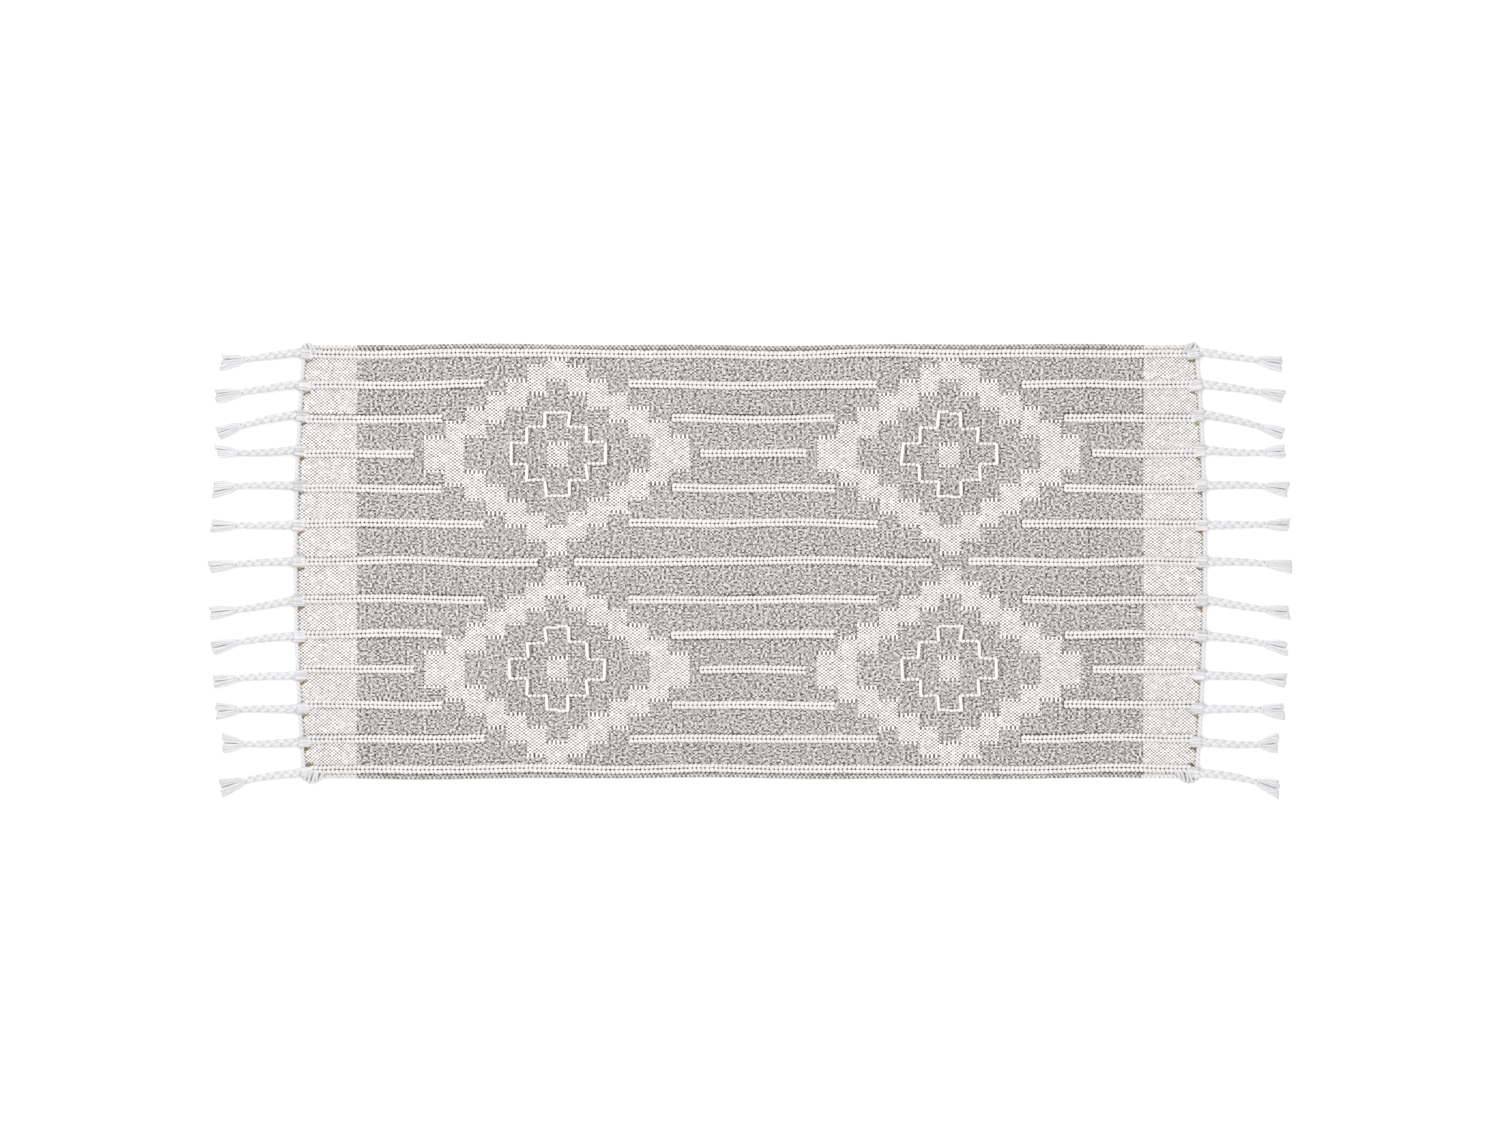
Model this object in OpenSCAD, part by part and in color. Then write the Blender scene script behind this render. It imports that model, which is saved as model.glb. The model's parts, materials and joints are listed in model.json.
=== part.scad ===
// Flat-woven cotton runner rug with raised rib rows, stepped diamonds and braided tassels.
// It lies on the floor at z = 0, with its length along X and its width along Y.
// "left" is -X, "rear" is +Y. Rows and tassels are numbered from the rear.

/* [Cloth] */
// Width of the rug across its two long hems
rug_w = 600; // [590:1:610]
// Length of the cloth at its middle, from end cord to end cord
cloth_l = 1259; // [1250:1:1300]
// How far each end bows out at its middle
end_bow = 12.5; // [8:0.5:16]
// Thickness of the woven ground and of the end bands
cloth_t = 4.5; // [3.5:0.5:6]
// Length of the white band at the middle of each end
band_l = 85; // [80:1:100]
// Width of the turned strip along each long side
long_hem_w = 6; // [5:0.5:7]

/* [Raised pattern] */
// Width of a rib row, which is two beaded cords side by side
rib_w = 13; // [10:0.5:13]
// Height of a rib row above the ground
rib_h = 2.8; // [1:0.1:3]
// Distance of the left diamonds' centres from the middle of the rug
left_diamond_x = 268; // [266:1:272]
// Distance of the right diamonds' centres from the middle of the rug
right_diamond_x = 276; // [272:1:280]
// Length of one step of a diamond along the rug
step_x = 28.25; // [27:0.25:28.5]
// Height of one step of a diamond across the rug
step_y = 19.3; // [18.5:0.1:19.3]
// Thickness of the white diamond weave above the ground
diamond_t = 0.8; // [0.5:0.1:1.5]
// Width of the raised outline inside a diamond
outline_w = 6; // [3:0.5:7]
// Height of the raised outline above the ground
outline_h = 2.5; // [1:0.1:3]

/* [Ends] */
// Diameter of the cord that edges each end
cord_d = 6; // [5:0.5:7]
// Diameter of the three yarn loops that tie a tassel over the cord
loop_d = 3.2; // [2:0.2:3.4]
// Length of a visible hem stitch
stitch_l = 7; // [5:0.5:9]
// Width of a visible hem stitch
stitch_w = 2; // [1.5:0.1:2.5]

/* [Tassels] */
// Length of the braid, from its swinging end at the knot to its tie
braid_l = 73; // [60:1:76]
// Diameter of the braid at the knot
braid_d = 12; // [9:0.5:12.5]
// Diameter of the braid at its tie
tie_d = 8.4; // [6.5:0.1:9]
// Usual length of the loose yarn beyond the tie
brush_l = 38; // [30:1:40]
// Usual width of the loose yarn at its tip
brush_w = 20; // [14:1:20]
// Height of the loose yarn at its tip
brush_h = 6; // [4:0.5:8]
// Gap between a tassel and the knot that it swings on
swing_gap = 0.4; // [0.3:0.1:0.6]

/* [Hidden] */
// Rib rows on one side of the middle row, as shares of half the width
row_shares = [0.175, 0.337, 0.498, 0.66, 0.817, 0.958];
half_rows = [for (s = row_shares) s * rug_w / 2];
rear_rows = [for (i = [len(half_rows) - 1 : -1 : 0]) half_rows[i]];
row_y = concat(rear_rows, [0], -half_rows);
row_n = len(row_y);
// The diamonds are centred on the fourth row from each long side
diamond_y = half_rows[2];
diamond_row = 2;

// Steps from a diamond's middle column to its tip, and the columns that are solid at the tip
step_n = 6;
frame_steps = 2;
tip_half = step_y * 1.22;
centre_square = [30.5, 29];
outline_x = [16, 41, 65.6];
outline_y = [57.5, 36.5, 14.6];

// Half the gap in a rib row at a diamond, by how many rows it is from the diamond's middle
rib_breaks = [198, 159, 100, 25];
edge_row_inner = half_rows[5] - rib_w / 2;

// The bowed ends are arcs about one centre each
bow_r = (pow(rug_w / 2, 2) + pow(end_bow, 2)) / (2 * end_bow);
bow_centre = cloth_l / 2 - bow_r;
cord_r = cord_d / 2;
band_x = cloth_l / 2 - band_l;
cord_half_angle = asin((rug_w / 2 - cord_r) / bow_r);

loop_r = loop_d / 2;
loop_turn_r = cord_r + loop_r;
loop_start = -15;
loop_sweep = 185;
loop_places = [-4, 0, 4];
rib_end_gap = 8;
stitch_t = 0.8;
stitch_in = 8;
stitch_aside = 13;

braid_r = braid_d / 2;
tie_r = tie_d / 2;
braid_tilt = atan((braid_r - tie_r) / braid_l);
pivot_out = loop_turn_r + loop_r + swing_gap + braid_r;
brush_start_r = 3.6;
disc_t = 0.4;

// The lists below run from the rear tassel to the front one.
// How far each tassel sits towards the rear from its rib row
root_shift = [1, -1, 4, 4, 4, -2, 0, -2, -2, -8, -5.5, -4.5, -5];
tassel_y = [for (i = [0 : row_n - 1]) row_y[i] + root_shift[i]];
// How far each tassel lies turned towards the front edge
left_lay = [8, 8.5, 14, 0.5, 3, 0.5, 4.5, 8.5, 9.3, 4.7, 1.7, 0.5, 11.5];
right_lay = [8.5, 9, 14.2, 0.5, 3, 0, 4.4, 8.5, 10, 4, 2, 1, 12.5];
// How far each tassel's loose yarn fans out, as shares of brush_w
fan_shares = [1.05, 0.95, 0.85, 0.9, 1.1, 0.82, 0.85, 0.9, 0.92, 0.92, 1.15, 1.35, 1.2];
// How much shorter than brush_l each tassel's loose yarn is cut
brush_cuts = [2, 1, 4.5, 6, 3, 3.5, 0.5, 0.5, 2, 4, 5.5, 11, 2];

grey_melange = "#BEBBB6";
white_cotton = "#E4E1DE";
cool_white = "#ECEBEB";
gold_thread = "#8A6A2F";

arc_fn = 720;
round_fn = 48;
brush_fn = 28;
profile_steps = 8;

function two_digits(i) = str(i < 10 ? "0" : "", i);
function numbered(name, i) = str(name, "_", two_digits(i));
function cord_x(y) = bow_centre + sqrt(pow(bow_r, 2) - pow(y, 2));
function bow_angle(y) = asin(y / bow_r);
function side_sign(side) = side == "left" ? -1 : 1;
function band_sign(band) = band == "front" ? -1 : 1;

// Draws its children at the right end, and mirrors them for the left end
module at_end(side) {
    scale_x = side_sign(side);
    if (scale_x < 0) mirror([1, 0, 0]) children();
    else children();
}

// A frame on the end cord at one row: +X points outwards from the end
module at_cord(y) {
    translate([bow_centre, 0, 0])
        rotate([0, 0, bow_angle(y)])
            translate([bow_r, 0, 0])
                children();
}

module ground_cloth() {
    color(grey_melange)
        translate([-band_x, -rug_w / 2 + long_hem_w, 0])
            cube([2 * band_x, rug_w - 2 * long_hem_w, cloth_t]);
}

module long_hem(band) {
    middle_y = band_sign(band) * (rug_w - long_hem_w) / 2;
    color(grey_melange)
        translate([-band_x, middle_y - long_hem_w / 2, 0])
            cube([2 * band_x, long_hem_w, cloth_t]);
}

module end_band(side) {
    color(white_cotton)
        at_end(side)
            linear_extrude(cloth_t)
                intersection() {
                    translate([band_x, -rug_w / 2]) square([band_l, rug_w]);
                    translate([bow_centre, 0]) circle(r = bow_r - cord_r, $fn = arc_fn);
                }
}

module end_cord(side) {
    color(cool_white)
        at_end(side)
            translate([bow_centre, 0, cord_r])
                rotate([0, 0, -cord_half_angle])
                    rotate_extrude(angle = 2 * cord_half_angle, $fn = arc_fn)
                        translate([bow_r, 0])
                            circle(r = cord_r, $fn = round_fn);
}

// One yarn loop over the cord, from the band's top down to the tassel
module cord_loop() {
    difference() {
        translate([0, 0, cord_r])
            rotate([90, 0, 0])
                rotate([0, 0, loop_start])
                    rotate_extrude(angle = loop_sweep, $fn = round_fn)
                        translate([loop_turn_r, 0])
                            circle(r = loop_r, $fn = round_fn);
        translate([-cord_r - 2 * loop_turn_r, -loop_d, 0])
            cube([2 * loop_turn_r, 2 * loop_d, cloth_t]);
    }
}

module tassel_knots(side) {
    color(cool_white)
        at_end(side)
            for (y = tassel_y)
                at_cord(y)
                    for (aside = loop_places)
                        translate([0, aside, 0])
                            cord_loop();
}

// A stitch lies on the front side of each tassel, but on the rear side of the last one
module hem_stitches(side) {
    color(gold_thread)
        at_end(side)
            for (i = [0 : row_n - 1]) {
                y = tassel_y[i] + (i == row_n - 1 ? stitch_aside : -stitch_aside);
                translate([cord_x(y) - stitch_in, y, cloth_t])
                    translate([-stitch_l / 2, -stitch_w / 2, 0])
                        cube([stitch_l, stitch_w, stitch_t]);
            }
}

// Two half-round beads side by side, drawn across the row
module rib_section() {
    bead_r = rib_w / 4;
    bead_drop = min(0, rib_h - bead_r);
    intersection() {
        translate([-rib_w / 2, 0]) square([rib_w, rib_h]);
        union() {
            for (aside = [-bead_r, bead_r])
                translate([aside, bead_drop])
                    circle(r = bead_r, $fn = round_fn);
        }
    }
}

module rib_run(from_x, to_x, y) {
    translate([from_x, y, cloth_t])
        rotate([90, 0, 90])
            linear_extrude(to_x - from_x)
                rib_section();
}

// A rib row stops short of each diamond that it meets, except along the long sides
module rib_row(i) {
    y = row_y[i - 1];
    end_x = cord_x(y) - rib_end_gap;
    middle_i = (row_n - 1) / 2;
    rows_off = abs(abs(i - 1 - middle_i) - diamond_row - 1);
    color(white_cotton)
        if (i == 1 || i == row_n) {
            rib_run(-end_x, end_x, y);
        } else {
            gap = rib_breaks[rows_off];
            rib_run(-end_x, -left_diamond_x - gap, y);
            rib_run(-left_diamond_x + gap, right_diamond_x - gap, y);
            rib_run(right_diamond_x + gap, end_x, y);
        }
}

// Half the height of a diamond at a column, counted from the middle one
function outer_half(k) = tip_half + step_y * (step_n - k);

module column(k, low, high) {
    translate([(k - 0.5) * step_x, low]) square([step_x, high - low]);
}

module stepped_frame() {
    for (k = [-step_n : step_n]) {
        reach = abs(k);
        if (reach > step_n - frame_steps) {
            column(k, -outer_half(reach), outer_half(reach));
        } else {
            column(k, -outer_half(reach), -outer_half(reach + frame_steps));
            column(k, outer_half(reach + frame_steps), outer_half(reach));
        }
    }
}

module at_diamond(band, side) {
    x = side == "left" ? -left_diamond_x : right_diamond_x;
    translate([x, band_sign(band) * diamond_y, 0]) children();
}

// The frame's outer point is cut off at the rib row along the long side
module diamond(band, side) {
    color(white_cotton)
        translate([0, 0, cloth_t])
            linear_extrude(diamond_t)
                intersection() {
                    at_diamond(band, side) stepped_frame();
                    translate([-rug_w, -edge_row_inner]) square([2 * rug_w, 2 * edge_row_inner]);
                }
}

module diamond_centres() {
    color(white_cotton)
        for (band = ["rear", "front"])
            for (side = ["left", "right"])
                at_diamond(band, side)
                    translate([-centre_square[0] / 2, -centre_square[1] / 2, cloth_t])
                        cube([centre_square[0], centre_square[1], diamond_t]);
}

// A cross with stepped arms; grow moves its edge outwards
module stepped_cross(grow) {
    for (i = [0 : len(outline_x) - 1]) {
        reach = [outline_x[i] + grow, outline_y[i] + grow];
        translate(-reach) square(2 * reach);
    }
}

module outline(band, side) {
    color(white_cotton)
        at_diamond(band, side)
            translate([0, 0, cloth_t])
                linear_extrude(outline_h)
                    difference() {
                        stepped_cross(outline_w / 2);
                        stepped_cross(-outline_w / 2);
                    }
}

// The braid's rounded root turns on the spot, then it tapers to the tie
module braid() {
    root_arc = [for (i = [0 : profile_steps]) let (a = 90 * i / profile_steps)
        [braid_r * sin(a), -braid_r * cos(a)]];
    translate([0, 0, braid_r])
        rotate([0, 90 + braid_tilt, 0])
            rotate_extrude($fn = round_fn)
                polygon(concat(root_arc, [[tie_r, braid_l], [0, braid_l]]));
}

module brush(tip_w, tip_out) {
    tie_x = braid_l * cos(braid_tilt) + 2 * disc_t;
    hull() {
        translate([tie_x, 0, tie_r])
            rotate([0, 90, 0])
                cylinder(r = brush_start_r, h = disc_t, $fn = brush_fn);
        translate([tie_x + tip_out - disc_t, 0, brush_h / 2])
            rotate([0, 90, 0])
                scale([brush_h / tip_w, 1, 1])
                    cylinder(r = tip_w / 2, h = disc_t, $fn = brush_fn);
    }
}

module tassel(side, i) {
    y = tassel_y[i - 1];
    lay = side == "left" ? left_lay[i - 1] : right_lay[i - 1];
    color(cool_white)
        at_end(side)
            at_cord(y)
                translate([pivot_out, 0, 0])
                    rotate([0, 0, -lay - bow_angle(y)]) {
                        braid();
                        brush(fan_shares[i - 1] * brush_w, brush_l - brush_cuts[i - 1]);
                    }
}

ground_cloth();
long_hem("rear");  // long_hem_rear
long_hem("front");  // long_hem_front
diamond_centres();

for (side = ["left", "right"]) {
    end_band(side);
    end_cord(side);
    tassel_knots(side);
    hem_stitches(side);
}

for (band = ["rear", "front"]) for (side = ["left", "right"]) {
    diamond(band, side);
    outline(band, side);
}

for (i = [1 : row_n]) {
    rib_row(i);
}

for (side = ["left", "right"]) for (i = [1 : row_n]) {
    tassel(side, i);
}
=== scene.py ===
import json
import math

import bpy
import numpy as np
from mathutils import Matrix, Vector
from mathutils.bvhtree import BVHTree

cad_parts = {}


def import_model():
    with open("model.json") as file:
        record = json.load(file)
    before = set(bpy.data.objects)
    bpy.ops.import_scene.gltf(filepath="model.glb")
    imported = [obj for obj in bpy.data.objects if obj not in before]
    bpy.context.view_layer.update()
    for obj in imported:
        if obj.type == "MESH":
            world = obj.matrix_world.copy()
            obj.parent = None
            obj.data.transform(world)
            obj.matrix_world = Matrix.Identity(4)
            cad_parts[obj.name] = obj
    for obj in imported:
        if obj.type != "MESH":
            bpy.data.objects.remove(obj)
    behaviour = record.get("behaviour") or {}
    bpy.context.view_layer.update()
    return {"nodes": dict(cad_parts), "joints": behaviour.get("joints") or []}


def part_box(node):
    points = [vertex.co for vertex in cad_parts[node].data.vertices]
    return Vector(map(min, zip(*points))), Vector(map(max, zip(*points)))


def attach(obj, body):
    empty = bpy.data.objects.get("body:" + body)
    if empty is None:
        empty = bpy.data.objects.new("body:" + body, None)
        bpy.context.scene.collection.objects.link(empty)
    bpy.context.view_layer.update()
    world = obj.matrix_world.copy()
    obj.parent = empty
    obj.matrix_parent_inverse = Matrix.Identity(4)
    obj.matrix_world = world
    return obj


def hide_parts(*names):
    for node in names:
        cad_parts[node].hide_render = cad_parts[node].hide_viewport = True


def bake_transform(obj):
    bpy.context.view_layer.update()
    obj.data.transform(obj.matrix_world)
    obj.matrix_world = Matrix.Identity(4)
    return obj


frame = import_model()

ROOT = "rug"
SIDES = {"left": -1, "right": 1}
RANDOM = np.random.default_rng(52)
TAU = 2 * math.pi

# ---------------------------------------------------------------- sizes, from the frame

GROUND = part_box("ground_cloth")
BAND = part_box("end_band_right")
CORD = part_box("end_cord_right")
CLOTH_TOP = GROUND[1].z
DIAMOND_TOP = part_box("diamond_rear_left")[1].z
OUTLINE_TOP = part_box("outline_rear_left")[1].z
RIB_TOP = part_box("rib_row_01")[1].z
HALF_W = BAND[1].y
CORD_R = CORD[1].z / 2
CORD_MID_X = CORD[1].x - CORD_R

ROW_N = sum(name.startswith("rib_row") for name in frame["nodes"])
ROW_Y = [sum(c.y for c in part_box(f"rib_row_{i:02d}")) / 2 for i in range(1, ROW_N + 1)]
JOINTS = {joint["child"]: joint for joint in frame["joints"]}


def bow():
    """Centre and radius of the end cord's arc at the right end, from where the tassels turn."""
    corner = JOINTS["tassel_right_01"]["pos_m"]
    middle = JOINTS[f"tassel_right_{(ROW_N + 1) // 2:02d}"]["pos_m"]
    sagitta = middle[0] - corner[0]
    pivot_r = (corner[1] ** 2 + sagitta ** 2) / (2 * sagitta)
    radius = pivot_r - (middle[0] - CORD_MID_X)
    return CORD_MID_X - radius, radius


BOW_X, BOW_R = bow()


def end_x(y):
    """How far from the middle the end cord lies at y."""
    return BOW_X + np.sqrt(BOW_R ** 2 - np.square(y))


def tassel_y(row):
    """Where on the end cord a tassel hangs: both ends are alike."""
    x, y, _ = JOINTS[f"tassel_right_{row:02d}"]["pos_m"]
    return y * BOW_R / math.hypot(x - BOW_X, y)


TASSEL_Y = [tassel_y(row) for row in range(1, ROW_N + 1)]


# ---------------------------------------------------------------- yarn sizes and the weave

# Size of a crossing along the rug and across it
WEFT = 0.00297
WARP = 0.00216
# Top of the cloth under the yarn relief, bottom of the relief, and depth of the gaps in it
BASE_TOP = 0.0026
WEAVE_BOTTOM = 0.0022
GAP_DROP = 0.0010
# How much lower every second crossing is, and how far the middle of any crossing may stray
UNDER_DROP = 0.0002
STRAY = 0.00012
# How far the weave stops short of the end cord's middle line
UNDER_CORD = 0.0008
GROUND_STRIPS = 6
# Painted shade on the cut sides and the underside of a weave: their tone as a share of its rim's
# tone
SIDE_SHADE_TONE = 0.6
# The hand-made waves die out over this stretch of x, towards each end
WAVES_STOP = 0.60
WAVES_FADE = 0.12


def lattice():
    """Corner points of every crossing of the plain weave: x by column and row, y by row."""
    ground_n = 2 * round(GROUND[1].x / WEFT)
    rows_n = 2 * round(GROUND[1].y / WARP)
    y = np.linspace(-GROUND[1].y, GROUND[1].y, rows_n + 1)
    inner = np.linspace(-GROUND[1].x, GROUND[1].x, ground_n + 1)
    band_n = round((CORD_MID_X - GROUND[1].x) / WEFT)
    reach = end_x(y) - UNDER_CORD - GROUND[1].x
    share = np.linspace(0, 1, band_n + 1)[1:]
    outer = GROUND[1].x + share[:, None] * reach[None, :]
    middle = np.repeat(inner[:, None], rows_n + 1, axis=1)
    return np.concatenate([-outer[::-1], middle, outer]), y, band_n


CORNER_X, CORNER_Y, BAND_N = lattice()
COLS, ROWS = CORNER_X.shape[0] - 1, len(CORNER_Y) - 1
CENTRE_X = (CORNER_X[:-1, :-1] + CORNER_X[1:, :-1] + CORNER_X[:-1, 1:] + CORNER_X[1:, 1:]) / 4
CENTRE_Y = np.broadcast_to((CORNER_Y[:-1] + CORNER_Y[1:]) / 2, CENTRE_X.shape)
PARITY = (np.arange(COLS)[:, None] + np.arange(ROWS)[None, :]) % 2
COLUMN = np.broadcast_to(np.arange(COLS)[:, None], (COLS, ROWS))
EVEN_COLUMN = COLUMN % 2 == 0


def hand_made(co):
    """Moves points by the small waves of a hand-woven cloth: no waves at the two ends."""
    x, y = co[:, 0], co[:, 1]
    fade = np.clip((WAVES_STOP - np.abs(x)) / WAVES_FADE, 0, 1)
    across = 0.0009 * np.sin(9 * x + 14 * y + 0.6) + 0.0007 * np.sin(23 * x - 9 * y)
    along = 0.0008 * np.sin(17 * y + 5 * x)
    wave = np.sin(7.3 * x + 1.1) * np.sin(8.1 * y + 0.4) + 0.5 * np.sin(19 * x + 11 * y)
    lift = 0.0005 * (1 + wave / 1.5)
    out = co.copy()
    out[:, 0] += fade * along
    out[:, 1] += fade * across
    out[:, 2] += fade * lift
    return out


# ---------------------------------------------------------------- mesh building

class Shape:
    """Vertices and faces of one piece, gathered part by part, with a tone at each face corner."""

    def __init__(self):
        self.co, self.faces, self.tone, self.twist = [], [], [], []
        self.count = 0

    def add(self, co, faces, tone=1.0, twist=None, face_tones=None):
        """Takes a tone for each vertex, or face_tones with one array for each array of faces."""
        n = len(co)
        if face_tones is None:
            at_vertex = np.broadcast_to(np.asarray(tone, float), (n,))
            face_tones = [at_vertex[f] for f in faces]
        self.co.append(np.asarray(co, float))
        self.faces.extend(np.asarray(f) + self.count for f in faces)
        self.tone.extend(face_tones)
        self.twist.append(np.zeros((n, 3)) if twist is None else twist)
        self.count += n

    def mesh(self, name, warp):
        co = np.concatenate(self.co)
        if warp:
            co = hand_made(co)
        mesh = bpy.data.meshes.new(name)
        mesh.vertices.add(len(co))
        mesh.vertices.foreach_set("co", co.astype(np.float32).ravel())
        sizes = np.concatenate([np.full(len(f), f.shape[1]) for f in self.faces])
        starts = np.concatenate([[0], np.cumsum(sizes)[:-1]])
        corners = np.concatenate([f.ravel() for f in self.faces])
        mesh.loops.add(len(corners))
        mesh.loops.foreach_set("vertex_index", corners.astype(np.int32))
        mesh.polygons.add(len(sizes))
        mesh.polygons.foreach_set("loop_start", starts.astype(np.int32))
        mesh.polygons.foreach_set("use_smooth", np.ones(len(sizes), bool))
        tone = mesh.attributes.new("tone", "FLOAT", "CORNER")
        tones = np.concatenate([t.ravel() for t in self.tone])
        tone.data.foreach_set("value", np.clip(tones, 0, 1).astype(np.float32))
        twist = mesh.attributes.new("twist", "FLOAT_VECTOR", "POINT")
        twist.data.foreach_set("vector", np.concatenate(self.twist).astype(np.float32).ravel())
        mesh.update()
        mesh.validate()
        return mesh


def piece(name, shape, material, warp=True):
    """Makes one visible object of a shape, in the row frame."""
    obj = bpy.data.objects.new(name, shape.mesh(name, warp))
    bpy.context.scene.collection.objects.link(obj)
    obj.data.materials.append(material)
    return obj


def woven(mask, peak, gap, bottom, centre, rim, ply=None):
    """A closed slab of plain weave: each crossing is a bump, with a tone for centre and rim, and
    painted shade on its cut sides and underside.

    ply is how much lighter the left half of each crossing is, and how much darker the right."""
    shape = Shape()
    cell_i, cell_j = np.nonzero(mask)
    used = np.zeros((COLS + 1, ROWS + 1), bool)
    for di in (0, 1):
        for dj in (0, 1):
            used[cell_i + di, cell_j + dj] = True
    corner_i, corner_j = np.nonzero(used)
    number = np.full(used.shape, -1)
    number[corner_i, corner_j] = np.arange(len(corner_i))
    x, y = CORNER_X[corner_i, corner_j], CORNER_Y[corner_j]
    top = np.stack([x, y, np.full(len(x), gap)], 1)
    low = np.stack([x, y, np.full(len(x), bottom)], 1)
    jitter = RANDOM.uniform(-STRAY, STRAY, (len(cell_i), 3))
    drop = UNDER_DROP * PARITY[cell_i, cell_j]
    bump = np.stack([CENTRE_X[cell_i, cell_j], CENTRE_Y[cell_i, cell_j], peak - drop], 1) + jitter
    n_corner = len(top)
    a = number[cell_i, cell_j]
    b = number[cell_i + 1, cell_j]
    c = number[cell_i + 1, cell_j + 1]
    d = number[cell_i, cell_j + 1]
    m = 2 * n_corner + np.arange(len(cell_i))
    faces = [np.stack(t, 1) for t in ((a, b, m), (b, c, m), (c, d, m), (d, a, m))]
    faces.append(np.stack([d, c, b, a], 1) + n_corner)
    mid, low_rim = centre[cell_i, cell_j], rim[cell_i, cell_j]
    lit = np.zeros(len(cell_i)) if ply is None else ply[cell_i, cell_j]
    tones = [np.stack([low_rim, low_rim, mid], 1) + k * lit[:, None] for k in (0, -1, 0, 1)]
    tones.append(np.repeat(SIDE_SHADE_TONE * low_rim[:, None], 4, axis=1))
    padded = np.pad(mask, 1)
    for di, dj, p, q in ((0, -1, a, b), (1, 0, b, c), (0, 1, c, d), (-1, 0, d, a)):
        open_side = ~padded[cell_i + 1 + di, cell_j + 1 + dj]
        p, q = p[open_side], q[open_side]
        faces.append(np.stack([q, p, p + n_corner, q + n_corner], 1))
        tones.append(np.repeat(SIDE_SHADE_TONE * low_rim[open_side, None], 4, axis=1))
    shape.add(np.concatenate([top, low, bump]), faces, face_tones=tones)
    return shape


def tube(path, radius, sides, ref, lobes=0, lobe_depth=0.0, turn=0.0, crease_shade=0.7, flat=1.0,
         tone=1.0):
    """A closed tube along a path; lobes with a turn make it a bundle of yarns, with painted shade
    in the creases between them.

    ref is a direction that the path doesn't run along: the first side faces across it."""
    path = np.asarray(path, float)
    n = len(path)
    tangent = np.gradient(path, axis=0)
    tangent /= np.linalg.norm(tangent, axis=1)[:, None]
    side = np.cross(np.broadcast_to(ref, path.shape), tangent)
    side /= np.linalg.norm(side, axis=1)[:, None]
    up = np.cross(tangent, side)
    step = np.linalg.norm(np.diff(path, axis=0), axis=1)
    along = np.concatenate([[0], np.cumsum(step)])
    angle = np.linspace(0, TAU, sides, endpoint=False)
    phase = lobes * (angle[None, :] + turn * along[:, None])
    r = np.broadcast_to(radius, (n,))[:, None] * (1 + lobe_depth * np.cos(phase))
    ring = (np.cos(angle)[None, :, None] * side[:, None, :]
            + flat * np.sin(angle)[None, :, None] * up[:, None, :])
    co = (path[:, None, :] + r[..., None] * ring).reshape(-1, 3)
    co = np.concatenate([co, path[[0, -1]]])
    k = np.arange(sides)
    nxt = (k + 1) % sides
    rows = np.arange(n - 1)[:, None] * sides
    quads = np.stack([rows + k, rows + nxt, rows + sides + nxt, rows + sides + k], -1)
    last = (n - 1) * sides
    caps = [np.stack([nxt, k, np.full(sides, n * sides)], 1),
            np.stack([last + k, last + nxt, np.full(sides, n * sides + 1)], 1)]
    ridge = 0.5 + 0.5 * np.cos(phase) if lobes else np.ones((n, sides))
    tone = np.broadcast_to(tone, (n,))
    around = tone[:, None] * (crease_shade + (1 - crease_shade) * ridge)
    tones = np.concatenate([around.ravel(), tone[[0, -1]]])
    spin = np.stack(np.broadcast_arrays(np.cos(2 * angle)[None, :], np.sin(2 * angle)[None, :],
                                        along[:, None]), -1).reshape(-1, 3)
    twist = np.concatenate([spin, [[0, 0, 0], [0, 0, along[-1]]]])
    return co, [quads.reshape(-1, 4)] + caps, tones, twist


def smooth_path(stops, count):
    """A smooth curve through given points, evenly sampled by a Catmull-Rom spline."""
    padded = np.concatenate([[2 * stops[0] - stops[1]], stops, [2 * stops[-1] - stops[-2]]])
    t = np.linspace(0, len(stops) - 1 - 1e-9, count)
    k = t.astype(int)
    u = (t - k)[:, None]
    p0, p1, p2, p3 = (padded[k + i] for i in range(4))
    return 0.5 * (2 * p1 + (p2 - p0) * u + (2 * p0 - 5 * p1 + 4 * p2 - p3) * u ** 2
                  + (3 * p1 - p0 - 3 * p2 + p3) * u ** 3)


def grain():
    """A small closed ellipsoid of radius 1, the shape of one yarn float."""
    rings, sides = 5, 8
    lat = np.linspace(-math.pi / 2, math.pi / 2, rings + 2)[1:-1]
    lon = np.linspace(0, TAU, sides, endpoint=False)
    x = np.sin(lat)[:, None] * np.ones(sides)
    y = np.cos(lat)[:, None] * np.cos(lon)
    z = np.cos(lat)[:, None] * np.sin(lon)
    co = np.concatenate([np.stack([x, y, z], -1).reshape(-1, 3), [[-1, 0, 0], [1, 0, 0]]])
    k = np.arange(sides)
    nxt = (k + 1) % sides
    rows = np.arange(rings - 1)[:, None] * sides
    quads = np.stack([rows + k, rows + nxt, rows + sides + nxt, rows + sides + k], -1)
    last = (rings - 1) * sides
    first_cap = np.stack([nxt, k, np.full(sides, rings * sides)], 1)
    last_cap = np.stack([last + k, last + nxt, np.full(sides, rings * sides + 1)], 1)
    angle = np.concatenate([np.tile(lon, rings), [0, 0]])
    return co, [quads.reshape(-1, 4), first_cap, last_cap], angle


GRAIN, GRAIN_FACES, GRAIN_ANGLE = grain()


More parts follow.
